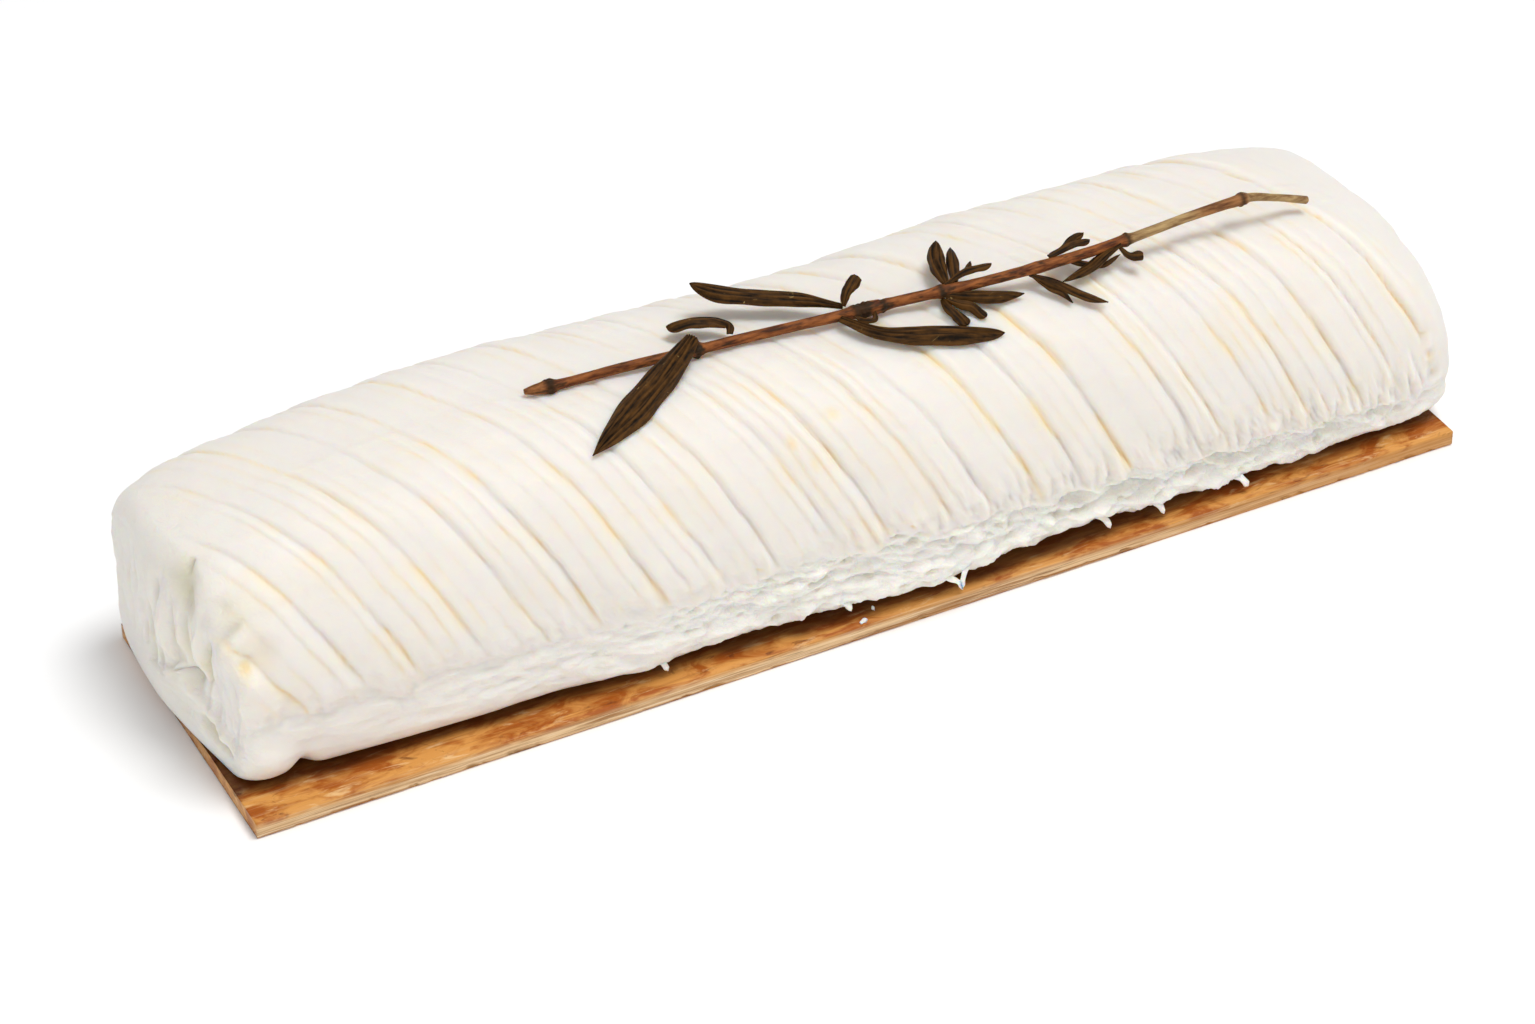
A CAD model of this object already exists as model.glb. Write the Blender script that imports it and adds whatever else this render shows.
import math
import random

import bpy
import numpy as np
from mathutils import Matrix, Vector, noise


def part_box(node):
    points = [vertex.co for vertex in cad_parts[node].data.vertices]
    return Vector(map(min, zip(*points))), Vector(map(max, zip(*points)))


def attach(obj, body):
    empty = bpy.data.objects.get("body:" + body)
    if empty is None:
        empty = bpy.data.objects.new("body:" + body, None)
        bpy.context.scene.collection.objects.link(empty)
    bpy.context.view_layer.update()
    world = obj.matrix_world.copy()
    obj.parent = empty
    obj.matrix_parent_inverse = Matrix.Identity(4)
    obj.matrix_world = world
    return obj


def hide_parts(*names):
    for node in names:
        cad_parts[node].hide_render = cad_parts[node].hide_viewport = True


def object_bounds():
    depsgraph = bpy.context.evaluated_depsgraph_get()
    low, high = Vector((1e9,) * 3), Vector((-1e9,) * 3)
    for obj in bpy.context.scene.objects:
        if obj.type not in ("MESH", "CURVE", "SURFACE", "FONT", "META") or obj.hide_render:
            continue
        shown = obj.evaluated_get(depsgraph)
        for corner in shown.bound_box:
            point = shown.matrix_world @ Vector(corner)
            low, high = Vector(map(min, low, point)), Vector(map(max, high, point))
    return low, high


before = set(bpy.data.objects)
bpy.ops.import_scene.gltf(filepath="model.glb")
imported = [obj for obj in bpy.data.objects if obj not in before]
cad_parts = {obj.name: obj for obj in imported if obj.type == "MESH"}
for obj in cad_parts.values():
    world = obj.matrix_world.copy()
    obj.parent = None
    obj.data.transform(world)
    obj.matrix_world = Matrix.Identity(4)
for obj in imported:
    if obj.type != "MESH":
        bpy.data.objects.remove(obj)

cad_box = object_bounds()


# The view: the log seen from above its left end, on a pale floor under a soft studio light.
# The light is wide and comes from the right, with a bright room all round it, as in the photograph.
VIEW_TURN = math.radians(-27.855)
VIEW_TILT = math.radians(36.678)
VIEW_FROM = (-0.26333, -0.48580, 0.41649)
VIEW_LENS = 106.47
VIEW_SENSOR = 36.0
FLOOR_SIZE = 6.0
FLOOR_DROP = 0.00005
PAPER = "#FBFBFB"
ROOM_LIGHT = 0.50
KEY_PLACE = (0.28, -0.20, 1.38)
KEY_SIZE = 0.62
KEY_POWER = 11.6
FILL_PLACE = (-0.70, -1.2, 0.75)
FILL_SIZE = 1.4
FILL_POWER = 4.9


def linear(code):
    """An sRGB hex colour as linear red, green, blue and alpha."""
    parts = [int(code[start:start + 2], 16) / 255 for start in (1, 3, 5)]
    return (*((c / 12.92 if c <= 0.04045 else ((c + 0.055) / 1.055) ** 2.4) for c in parts), 1.0)


def add(tree, kind, settings=None, **links):
    """Adds a node: settings are its properties or input values, links are the outputs that feed inputs."""
    node = tree.nodes.new(kind)
    for name, value in (settings or {}).items():
        if isinstance(name, str) and hasattr(node, name):
            setattr(node, name, value)
        else:
            node.inputs[name].default_value = value
    for name, output in links.items():
        key = int(name[1:]) if name[1:].isdigit() else name.replace("_", " ")
        tree.links.new(output, node.inputs[key])
    return node


def blank_material(name, **values):
    """A new material with its node tree and its shader; values are inputs of the shader, _ is a space."""
    material = bpy.data.materials.new(name)
    material.use_nodes = True
    shader = material.node_tree.nodes["Principled BSDF"]
    for label, value in values.items():
        shader.inputs[label.replace("_", " ")].default_value = value
    return material, material.node_tree, shader


def stored(tree, label):
    """One of the values that a piece stores at each of its points."""
    return add(tree, "ShaderNodeAttribute", {"attribute_name": label}).outputs["Fac"]


def share_of(tree, value, low, high, most=1.0):
    """A value as a share: nothing at low, the most at high."""
    limits = {"From Min": low, "From Max": high, "To Max": most}
    return add(tree, "ShaderNodeMapRange", limits, Value=value).outputs[0]


def cloudy(tree, place, scale, detail, roughness=0.5, distortion=0.0):
    """Noise at each place, as a share."""
    settings = {"Scale": scale, "Detail": detail, "Roughness": roughness, "Distortion": distortion}
    return add(tree, "ShaderNodeTexNoise", settings, Vector=place).outputs[0]


def mixed(tree, share, first, second):
    """Two colours mixed by a share of the second; each is a hex code or another node's output."""
    node = add(tree, "ShaderNodeMix", {"data_type": "RGBA"}, Factor=share)
    for socket, colour in ((node.inputs[6], first), (node.inputs[7], second)):
        if isinstance(colour, str):
            socket.default_value = linear(colour)
        else:
            tree.links.new(colour, socket)
    return node.outputs[2]


def bumped(tree, height, strength, distance, **links):
    """A normal that follows a height, over another bump where one is linked."""
    settings = {"Strength": strength, "Distance": distance}
    return add(tree, "ShaderNodeBump", settings, Height=height, **links).outputs[0]


def softbox(name, place, size, power):
    light = bpy.data.lights.new(name, "AREA")
    light.shape = "DISK"
    light.size = size
    light.energy = power
    lamp = bpy.data.objects.new(name, light)
    lamp.location = place
    lamp.rotation_euler = Vector(place).to_track_quat("Z", "Y").to_euler()
    bpy.context.scene.collection.objects.link(lamp)


camera_data = bpy.data.cameras.new("photograph")
camera_data.sensor_width = VIEW_SENSOR
camera_data.lens = VIEW_LENS
camera_data.clip_start = 0.01
camera = bpy.data.objects.new("photograph", camera_data)
camera.location = VIEW_FROM
towards_viewer = Vector((math.sin(VIEW_TURN) * math.cos(VIEW_TILT),
                         -math.cos(VIEW_TURN) * math.cos(VIEW_TILT), math.sin(VIEW_TILT)))
camera.rotation_euler = towards_viewer.to_track_quat("Z", "Y").to_euler()
bpy.context.scene.collection.objects.link(camera)
bpy.context.scene.camera = camera

room = bpy.data.worlds.new("bright room")
room.use_nodes = True
room.node_tree.nodes["Background"].inputs["Color"].default_value = (1.0, 1.0, 1.0, 1.0)
room.node_tree.nodes["Background"].inputs["Strength"].default_value = ROOM_LIGHT
bpy.context.scene.world = room
bpy.context.scene.view_settings.view_transform = "Standard"
softbox("key softbox", KEY_PLACE, KEY_SIZE, KEY_POWER)
softbox("fill softbox", FILL_PLACE, FILL_SIZE, FILL_POWER)

bpy.ops.mesh.primitive_plane_add(size=FLOOR_SIZE, location=(0, 0, cad_box[0].z - FLOOR_DROP))
floor = bpy.context.object
floor.name = "floor"
paper = blank_material("white paper sweep", Base_Color=linear(PAPER), Roughness=0.9, Specular_IOR_Level=0.1)
floor.data.materials.append(paper[0])


# The slat: one strip of sliced softwood as long and as wide as the log, cut with a knife.
# Whey from the cheese has stained its face orange brown; its cut edge keeps the paler grain.
SLAT_STEP = 0.0005
SLAT_FACE_STEPS = 44
SLAT_EDGE_STEPS = 9
SLAT_CORNER = 0.00025
GRAIN_RELIEF = 0.00006
EDGE_WANDER = 0.00022
CHIP_DEPTH = 0.00055
PLY_RELIEF = 0.00007
DAMP_EDGE = ((-0.106, -0.0200), (-0.090, -0.0210), (-0.030, -0.0236), (0.009, -0.0258), (0.060, -0.0238),
             (0.106, -0.0228))
DAMP_FADE = 0.0028
DAMP_WANDER = 0.0009
DAMP_DARKNESS = 0.85
CUT_PALE = 0.35
CUT_PALE_UP_TO = 0.78
SLAT_END_SHARES = (0.35, 0.7, 0.9, 0.97)
SLAT_END_PALE = 0.25


def field(kind, points, size, *settings):
    """One of Blender's noises read at each point, at a size in metres along each axis."""
    scaled = np.asarray(points).reshape(-1, 3) / np.asarray(size)
    values = [kind(Vector(point), *settings) for point in scaled.tolist()]
    return np.array(values).reshape(np.asarray(points).shape[:-1])


def smooth(t):
    t = np.clip(t, 0.0, 1.0)
    return t * t * (3 - 2 * t)


def from_cell(points, size):
    """How far each point is from the middle of a cell, with cells of a size in metres along each axis."""
    scaled = (points.reshape(-1, 3) / size).tolist()
    values = [noise.voronoi(Vector(point))[0][0] for point in scaled]
    return np.array(values).reshape(points.shape[:-1])


def along(stations, x):
    """A smooth curve through (place, value) stations, read at x."""
    places, values = np.array(stations).T
    slopes = np.gradient(values, places)
    left = np.clip(np.searchsorted(places, x) - 1, 0, len(places) - 2)
    span = places[left + 1] - places[left]
    t = np.clip((x - places[left]) / span, 0.0, 1.0)
    return (values[left] * (1 + 2 * t) * (1 - t) ** 2 + slopes[left] * span * t * (1 - t) ** 2
            + values[left + 1] * t * t * (3 - 2 * t) + slopes[left + 1] * span * t * t * (t - 1))


def loft(name, shells, material, **values):
    """Closed shells through stacks of closed rings, as one mesh, with per-point values stored on it."""
    corners, faces, at_points = [], [], {label: [] for label in values}
    offset = 0
    for number, rings in enumerate(shells):
        count, sides = rings.shape[:2]
        index = np.arange(count * sides).reshape(count, sides)
        after = np.roll(index, -1, axis=1)
        quads = np.stack((index[:-1], after[:-1], after[1:], index[1:]), axis=2).reshape(-1, 4)
        first = np.full(sides, count * sides)
        start = np.stack((after[0], index[0], first), axis=1)
        end = np.stack((index[-1], after[-1], first + 1), axis=1)
        points = np.concatenate((rings.reshape(-1, 3), [rings[0].mean(axis=0), rings[-1].mean(axis=0)]))
        a, b, c = (points[quads[:, side]] for side in range(3))
        step = -1 if np.einsum("ij,ij->i", a, np.cross(b, c)).sum() < 0 else 1
        for group in (quads, start, end):
            faces += (group[:, ::step] + offset).tolist()
        corners += points.tolist()
        offset += len(points)
        for label, grids in values.items():
            grid = np.broadcast_to(grids[number], (count, sides))
            at_points[label].append(np.concatenate((grid.ravel(), [grid[0].mean(), grid[-1].mean()])))
    mesh = bpy.data.meshes.new(name)
    mesh.from_pydata(corners, [], faces)
    mesh.shade_smooth()
    mesh.materials.append(material)
    for label, parts in at_points.items():
        attribute = mesh.attributes.new(label, "FLOAT", "POINT")
        attribute.data.foreach_set("value", np.concatenate(parts).astype(np.float32))
    piece = bpy.data.objects.new(name, mesh)
    bpy.context.scene.collection.objects.link(piece)
    return piece


def slat_material():
    """Whey-stained sliced softwood: streaky orange brown with dark blotches, pale fibres where it is cut."""
    material, tree, shader = blank_material("whey-stained sliced softwood", Specular_IOR_Level=0.22)
    place = add(tree, "ShaderNodeTexCoord").outputs["Object"]

    def grain(scale, detail, distortion, turn=0.0):
        spread = add(tree, "ShaderNodeMapping", {"Scale": scale, "Rotation": (0.0, 0.0, turn)}, Vector=place)
        return cloudy(tree, spread.outputs[0], 1.0, detail, 0.62, distortion)

    def tinted(colour, code, value, low, high, most=1.0):
        return mixed(tree, share_of(tree, value, low, high, most), colour, code)

    fibres = grain((46.0, 1300.0, 900.0), 5.0, 0.3)
    patches = grain((105.0, 300.0, 300.0), 4.0, 1.1, 0.25)
    scuffs = grain((150.0, 620.0, 400.0), 5.0, 0.8, 0.15)
    blotches = grain((150.0, 330.0, 310.0), 4.0, 1.6)
    face = tinted("#D3944A", "#A2530F", patches, 0.42, 0.60)
    face = tinted(face, "#E6C08A", scuffs, 0.58, 0.70, 0.75)
    face = tinted(face, "#5C2A0B", blotches, 0.60, 0.72, 0.85)
    face = tinted(face, "#EBC48A", fibres, 0.58, 0.72, 0.30)
    face = tinted(face, "#804010", fibres, 0.46, 0.32, 0.40)
    face = mixed(tree, stored(tree, "damp"), face, "#4A2004")
    cut = grain((30.0, 100.0, 1500.0), 6.0, 0.9)
    fine_cut = grain((90.0, 200.0, 3600.0), 4.0, 0.6)
    along_log = add(tree, "ShaderNodeSeparateXYZ", Vector=place).outputs["X"]
    edge_wood = tinted("#E6C496", "#A06E3C", cut, 0.40, 0.62)
    edge_wood = tinted(edge_wood, "#F0DCBC", fine_cut, 0.54, 0.66, 0.7)
    edge_wood = tinted(edge_wood, "#6E4420", fine_cut, 0.44, 0.34, 0.6)
    edge_wood = tinted(edge_wood, "#C2853F", along_log, 0.03, 0.09, 0.75)
    colour = mixed(tree, stored(tree, "edge"), face, edge_wood)
    dullness = add(tree, "ShaderNodeMapRange", {"To Min": 0.40, "To Max": 0.65}, Value=blotches)
    tree.links.new(colour, shader.inputs["Base Color"])
    tree.links.new(dullness.outputs[0], shader.inputs["Roughness"])
    tree.links.new(bumped(tree, fibres, 0.6, 0.0002), shader.inputs["Normal"])
    return material


slat_low, slat_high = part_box("wooden_slat")
slat_half_width = (slat_high.y - slat_low.y) / 2
slat_thickness = slat_high.z - slat_low.z
slat_x = np.arange(slat_low.x, slat_high.x + SLAT_STEP / 2, SLAT_STEP)
across_steps = np.linspace(-1, 1, SLAT_FACE_STEPS)
down_steps = np.linspace(1, -1, SLAT_EDGE_STEPS)
over_face, over_edge = np.ones(SLAT_FACE_STEPS), np.ones(SLAT_EDGE_STEPS)
profile_y = np.concatenate((across_steps, over_edge, across_steps[::-1], -over_edge))
profile_z = np.concatenate((over_face, down_steps, -over_face, down_steps[::-1]))
slat_y = np.broadcast_to(profile_y * (slat_half_width - SLAT_CORNER), (len(slat_x), len(profile_y))).copy()
slat_z = np.broadcast_to(profile_z * (slat_thickness / 2 - SLAT_CORNER), slat_y.shape).copy()
on_edge = np.concatenate((0 * over_face, over_edge) * 2)[None, :]
slat_y += np.sign(slat_y) * SLAT_CORNER * on_edge
slat_z += np.sign(slat_z) * SLAT_CORNER * (1 - on_edge)
slat_grid = np.stack((np.broadcast_to(slat_x[:, None], slat_y.shape), slat_y, slat_z), axis=2)
wander = field(noise.fractal, slat_grid * (1, 1, 0), (0.018, 0.05, 1), 0.8, 2.0, 4)
chips = field(noise.fractal, slat_grid, (0.0035, 0.01, 0.004), 0.6, 2.0, 4)
plies = field(noise.noise, slat_grid, (0.03, 0.05, 0.00032))
low_edge = smooth(-slat_z / (slat_thickness / 2)) * on_edge
chipped = CHIP_DEPTH * low_edge * np.clip(chips * 1.5 - 0.25, 0, 1)
cut_back = EDGE_WANDER * (0.5 + 0.5 * wander) + chipped + PLY_RELIEF * (1 + plies)
slat_y -= np.sign(slat_y) * on_edge * cut_back
grain_height = field(noise.fractal, slat_grid, (0.02, 0.0012, 1), 0.7, 2.0, 3)
slat_z -= (1 - on_edge) * GRAIN_RELIEF * (1 + grain_height)
slat_z += (1 - on_edge) * (slat_z < 0) * 2 * GRAIN_RELIEF
slat_z += slat_thickness / 2
slat_grid = np.stack((slat_grid[:, :, 0], slat_y, slat_z), axis=2)
pale = on_edge * smooth((slat_thickness * CUT_PALE_UP_TO - slat_z) / 0.0005) + CUT_PALE * on_edge
stain_wander = DAMP_WANDER * field(noise.fractal, slat_grid, 0.008, 0.8, 2.0, 3)
stain_edge = along(DAMP_EDGE, slat_grid[:, :, 0]) + stain_wander
damp = smooth((slat_y - stain_edge) / DAMP_FADE) * (1 - on_edge) * (slat_z > slat_thickness / 2)
damp = damp * DAMP_DARKNESS
ends = []
for rim in (slat_grid[0], slat_grid[-1]):
    middle = rim.mean(axis=0)
    ends.append(np.array([middle + (rim - middle) * (share, share, 1) for share in SLAT_END_SHARES]))
slat_rings = np.concatenate((ends[0], slat_grid, ends[1][::-1]))
pale_end = np.full((len(SLAT_END_SHARES), pale.shape[1]), SLAT_END_PALE)
pale_rings = np.clip(np.concatenate((pale_end, pale, pale_end)), 0, 1)
damp_rings = np.pad(damp, ((len(pale_end), len(pale_end)), (0, 0)), "edge")
slat = loft("slat", [slat_rings], slat_material(), edge=[pale_rings], damp=[damp_rings])
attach(slat, "root")
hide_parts("wooden_slat")


# The log: fresh goat's curd rolled tight in a pleated wrap, which pressed slanting pleats into its skin.
# The wrap tore the skin off low on the front, so rough curd shows there, and the left end is folded in.
GAP = 0.0003
SLAT_TOP = slat_high.z
CROWN_HEIGHT = ((-0.104, 0.0287), (-0.096, 0.0324), (-0.082, 0.0360), (-0.060, 0.0380), (-0.030, 0.0380),
                (0.0, 0.0368), (0.024, 0.0371), (0.045, 0.0379), (0.068, 0.0364), (0.084, 0.0350),
                (0.095, 0.0322), (0.105, 0.0283))
FRONT_SIDE = ((-0.104, -0.0192), (-0.090, -0.0202), (-0.066, -0.0219), (-0.052, -0.0223), (-0.040, -0.0238),
              (-0.024, -0.0234), (-0.003, -0.0247), (0.009, -0.0260), (0.024, -0.0243), (0.060, -0.0239),
              (0.090, -0.0237), (0.105, -0.0226))
BACK_SIDE = ((-0.104, 0.0260), (-0.060, 0.0265), (0.0, 0.0260), (0.060, 0.0260), (0.105, 0.0252))
LOG_LEFT = -0.1020
LOG_RIGHT = 0.1042
FRONT_WIDEST = 0.008
BACK_WIDEST = 0.011
FRONT_DOME_POWER = 2.35
BACK_DOME_POWER = 3.1
FOOT_POWER = ((-0.104, 5.0), (-0.090, 4.7), (-0.062, 4.1), (0.105, 3.9))
FOOT_FLAT = 0.0010
LEFT_ROUND = (0.0036, 0.0019, 0.0024)
RIGHT_ROUND = (0.0085, 0.0042, 0.0090)
LEFT_BULGE = 0.0012
RIGHT_BULGE = 0.0016
LEFT_LEAN = -0.0001
RIGHT_LEAN = -0.0010
LEAN_HEIGHT = 0.026
LOG_BREADTH = 0.048
END_MIDDLE = 0.45
CHEESE_MILKY = 0.0025
END_REACH = 0.018
LEFT_FACE = ((-0.020, 0.0040), (-0.014, 0.0024), (-0.005, 0.0008), (0.005, -0.0004), (0.026, 0.0004))
RIGHT_FACE = ((-0.022, 0.0), (-0.014, 0.0002), (0.001, -0.0006), (0.009, -0.0016), (0.026, -0.0010))
PLEATS_START = -0.1010
PLEAT_WIDTHS = (0.0090, 0.0090, 0.0074, 0.0096, 0.0086, 0.0087, 0.0102, 0.0093, 0.0093, 0.0103, 0.0077,
                0.0100, 0.0064, 0.0086, 0.0074, 0.0080, 0.0122, 0.0045, 0.0086, 0.0068, 0.0096, 0.0080,
                0.0088, 0.0078)
PLEAT_SKEW = 0.50
PLEAT_LEVEL = 0.032
PLEAT_LIP = 0.00105
LIP_ROUND = 0.00045
CREASE_DEPTH = 0.00030
CREASE_WIDTH = 0.00055
STEP_SHARE = 0.34
PLEAT_WANDER = 0.00045
TINT_BEFORE_LIP = 0.0007
TINT_PAST_LIP = 0.00016
PLEAT_AT_CROWN = 0.52
PLEAT_AT_BACK = 0.7
PLEAT_DEEPENS = 0.018
PLEAT_SEED = 11
FRILL_HEIGHT = ((-0.105, 0.00030), (-0.040, 0.00050), (0.0, 0.00070), (0.030, 0.00120),
                (0.105, 0.00160))
FRILL_SIZE = (0.0019, 0.0095, 0.0095)
FRILL_REACH = 0.0100
FRILL_SKEW = 0.22
SPECK_DEPTH = 0.00035
SPECK_TINT = 0.85
SKIN_EDGE = ((-0.104, 0.0085), (-0.060, 0.0090), (-0.030, 0.0098), (0.0, 0.0096), (0.013, 0.0094),
             (0.023, 0.0078), (0.038, 0.0066), (0.060, 0.0062), (0.080, 0.0055), (0.105, 0.0048))
SKIN_EDGE_RAGGED = 0.0016
LIP_RAGGED = 0.0012
LIP_LUMPS = 0.00030
TORN_RECESS = 0.0009
TORN_BILLOWS = 0.0011
TORN_RIDGES = 0.0010
TORN_PITS = 0.0010
TORN_FLAKES = 0.0006
TORN_ALONG = ((-0.105, 0.10), (-0.070, 0.20), (-0.042, 0.50), (-0.022, 1.0), (0.020, 1.0), (0.045, 1.30),
              (0.084, 1.20), (0.096, 0.60), (0.105, 0.15))
FOOT_CREASE = 0.0005
FACE_ROUGH = 0.0006
FOLD_WOBBLE = 0.0006
FOLD_SCALE = 0.0016
FOLD_SHADE = 0.75
DEEPEST_FOLD = 1.2
PIT_SHADE = 0.45
FACE_WHITE = 0.45
STROKE_ENDS = 0.25
# A stroke on an end face: stops as Y and height in millimetres, its width, and its share of the depth
FACE_STROKES = (((9.8, 12.0), (9.2, 9.0), 0.5, 0.5),
                ((7.2, 21.5), (7.4, 14.0), (6.2, 6.5), 1.1, 0.8),
                ((-1.2, 23.0), (-1.9, 19.0), (-2.6, 14.0), (-2.3, 11.0), 0.6, 0.55),
                ((-4.4, 23.4), (-4.8, 18.0), (-5.2, 12.5), (-4.2, 10.0), 1.1, 0.75),
                ((-6.8, 22.0), (-6.6, 17.0), (-7.2, 13.0), 0.5, 0.6),
                ((-10.2, 21.6), (-9.8, 17.6), (-8.4, 11.6), 0.6, 1.0),
                ((-10.9, 28.0), (-13.6, 26.0), (-14.0, 23.6), 0.9, 0.9),
                ((-3.0, 27.6), (-4.2, 25.4), 2.4, 1.1),
                ((-2.6, 30.0), (-2.8, 28.6), 0.45, 0.8),
                ((-3.4, 17.0), (-1.6, 11.0), (-1.7, 4.9), 1.4, 0.45),
                ((-1.2, 8.0), (-1.8, 4.4), 1.6, 0.45),
                ((-1.4, 5.2), (-2.0, 4.2), 1.5, 0.5),
                ((-6.4, 5.8), (-9.6, 4.4), (-14.0, 3.6), 0.8, 1.2),
                ((12.4, 24.0), (12.8, 18.0), 0.5, 0.45),
                ((15.2, 21.0), (15.6, 15.0), 0.4, 0.4),
                ((3.0, 24.5), (3.2, 18.0), (2.4, 10.0), (0.4, 6.0), 0.6, 0.6),
                ((-5.8, 8.8), (-8.6, 7.6), (-12.4, 5.8), (-16.0, 4.6), 0.8, -0.5),
                ((-8.3, 22.5), (-8.2, 18.0), (-9.0, 13.0), 0.45, -0.5),
                ((-12.4, 26.0), (-12.6, 27.0), 0.9, -0.5),
                ((-15.2, 23.4), (-15.4, 22.4), 1.0, -0.6),
                ((0.6, 22.0), (0.2, 14.0), 0.7, -0.4))
RIGHT_STROKES = (((1.5, 15.0), (1.9, 14.0), 1.7, 0.7),
                 ((4.0, 18.0), (12.0, 25.0), 1.4, 0.35),
                 ((-2.0, 18.5), (-9.0, 26.0), 1.3, 0.30),
                 ((-3.0, 14.0), (-14.0, 12.0), 1.5, 0.35),
                 ((5.5, 13.5), (15.0, 11.0), 1.5, 0.30),
                 ((1.0, 11.0), (-1.0, 4.0), 1.3, 0.30),
                 ((2.0, 20.0), (2.5, 29.0), 1.2, 0.25))
RIGHT_SOFTNESS = 1.35
FACE_BORDER = ((10.0, 32.0), (4.8, 31.5), (-1.1, 31.9), (-6.3, 30.2), (-11.8, 28.8), (-15.6, 26.0))
BORDER_WIDTH = 1.3
BORDER_HEIGHT = 0.0005
# A swell: X, Y and height over the slat, its size along each of them, how far it stands out, and its stain
SWELLS = ((-0.0985, -0.0180, 0.0035, (0.0050, 0.0050, 0.0040), 0.0007, 0.0),
          (-0.0975, -0.0135, 0.0275, (0.0030, 0.0024, 0.0030), 0.0005, 0.0),
          (-0.0956, -0.0196, 0.0048, (0.0034, 0.0040, 0.0026), 0.0007, 0.0),
          (-0.0908, -0.0205, 0.0010, (0.0016, 0.0050, 0.0030), -0.0016, 0.0),
          (-0.0951, -0.0174, 0.0218, (0.0019, 0.0030, 0.0030), -0.0010, 0.3),
          (-0.0975, -0.0169, 0.0206, (0.0011, 0.0011, 0.0017), -0.0009, 1.0),
          (-0.0965, -0.0165, 0.0180, (0.0022, 0.0030, 0.0022), 0.0006, 0.0),
          (-0.0121, -0.0170, 0.0292, (0.0008, 0.0009, 0.0016), -0.0004, 0.9),
          (-0.0094, -0.0191, 0.0264, (0.0007, 0.0009, 0.0016), -0.0003, 0.8),
          (-0.0047, -0.0156, 0.0308, (0.0013, 0.0008, 0.0016), -0.0003, 0.7))
DIMPLE_HEIGHT = 0.00012
LUMP_HEIGHT = 0.0005
LUMP_SIZE = 0.024
BODY_RINGS = 400
LEFT_RINGS = (10, 44)
RIGHT_RINGS = (9, 20)
FOOT_STEPS = np.concatenate(((0.0, 0.25, 0.45, 0.55), np.linspace(0.6, 1, 34, endpoint=False)))
FRONT_STEPS = np.linspace(0, 1, 108, endpoint=False)
BACK_STEPS = np.linspace(0, 1, 44, endpoint=False)
HEEL_STEPS = np.concatenate((np.linspace(0, 0.42, 12, endpoint=False), (0.45, 0.65, 0.85)))
SHEAR_FADE = 0.034
DENSE = 400


def log_rings():
    """Rings along the log: place, how far each end ring has closed in, insets, and which end."""
    halves = []
    for side, edge, rounding, counts in ((-1, LOG_LEFT, LEFT_ROUND, LEFT_RINGS),
                                         (1, LOG_RIGHT, RIGHT_ROUND, RIGHT_RINGS)):
        half = []
        for ring in range(1, counts[1] + 1):
            half.append((edge, ring / (counts[1] + 1), rounding[1], rounding[2], side))
        for ring in range(counts[0] + 1):
            turn = ring / counts[0] * math.pi / 2
            inset = 1 - math.sin(turn)
            place = edge - side * rounding[0] * (1 - math.cos(turn))
            half.append((place, 1.0, rounding[1] * inset, rounding[2] * inset, side))
        halves.append(half)
    start, end = halves[0][-1][0], halves[1][-1][0]
    body = [(start + (end - start) * ring / BODY_RINGS, 1.0, 0.0, 0.0, 0) for ring in range(1, BODY_RINGS)]
    return np.array(halves[0] + body + halves[1][::-1])


def log_sections(x, inset_y, inset_z):
    """Y, Z and signed length from the crown round each section, spread by quarters."""
    front, back = along(FRONT_SIDE, x)[:, None], along(BACK_SIDE, x)[:, None]
    height = along(CROWN_HEIGHT, x)[:, None] - inset_z[:, None]
    middle, half = (front + back) / 2, (back - front) / 2 - inset_y[:, None]
    angle = np.linspace(-math.pi / 2, math.pi * 1.5, 4 * DENSE + 1)[None, :]
    across, up = np.cos(angle), np.sin(angle)
    widest = np.where(across > 0, FRONT_WIDEST, BACK_WIDEST)
    dome = np.where(across > 0, FRONT_DOME_POWER, BACK_DOME_POWER)
    power = np.where(up > 0, dome, along(FOOT_POWER, x)[:, None])
    y = middle - half * np.sign(across) * np.abs(across) ** (2 / power)
    rise = np.where(up > 0, height - widest, widest - GAP + FOOT_FLAT) * np.abs(up) ** (2 / power)
    z = np.maximum(np.where(up > 0, widest + rise, widest - rise), GAP)
    length = np.cumsum(np.hypot(np.diff(y, axis=1), np.diff(z, axis=1)), axis=1)
    length = np.concatenate((np.zeros((len(y), 1)), length), axis=1)
    columns = []
    for quarter, fractions in enumerate((FOOT_STEPS, FRONT_STEPS, BACK_STEPS, HEEL_STEPS)):
        start, end = length[:, quarter * DENSE], length[:, (quarter + 1) * DENSE]
        for fraction in fractions:
            target = start + (end - start) * fraction
            spots = [(np.interp(t, row, ys), np.interp(t, row, zs))
                     for t, row, ys, zs in zip(target, length, y, z)]
            columns.append(np.column_stack((spots, length[:, 2 * DENSE] - target)))
    grid = np.array(columns).transpose(1, 0, 2)
    skin = length[:, 2 * DENSE] - np.abs(y[:, DENSE] - y[:, 0])
    return grid[:, :, 0], grid[:, :, 1], grid[:, :, 2], skin, height


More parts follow.
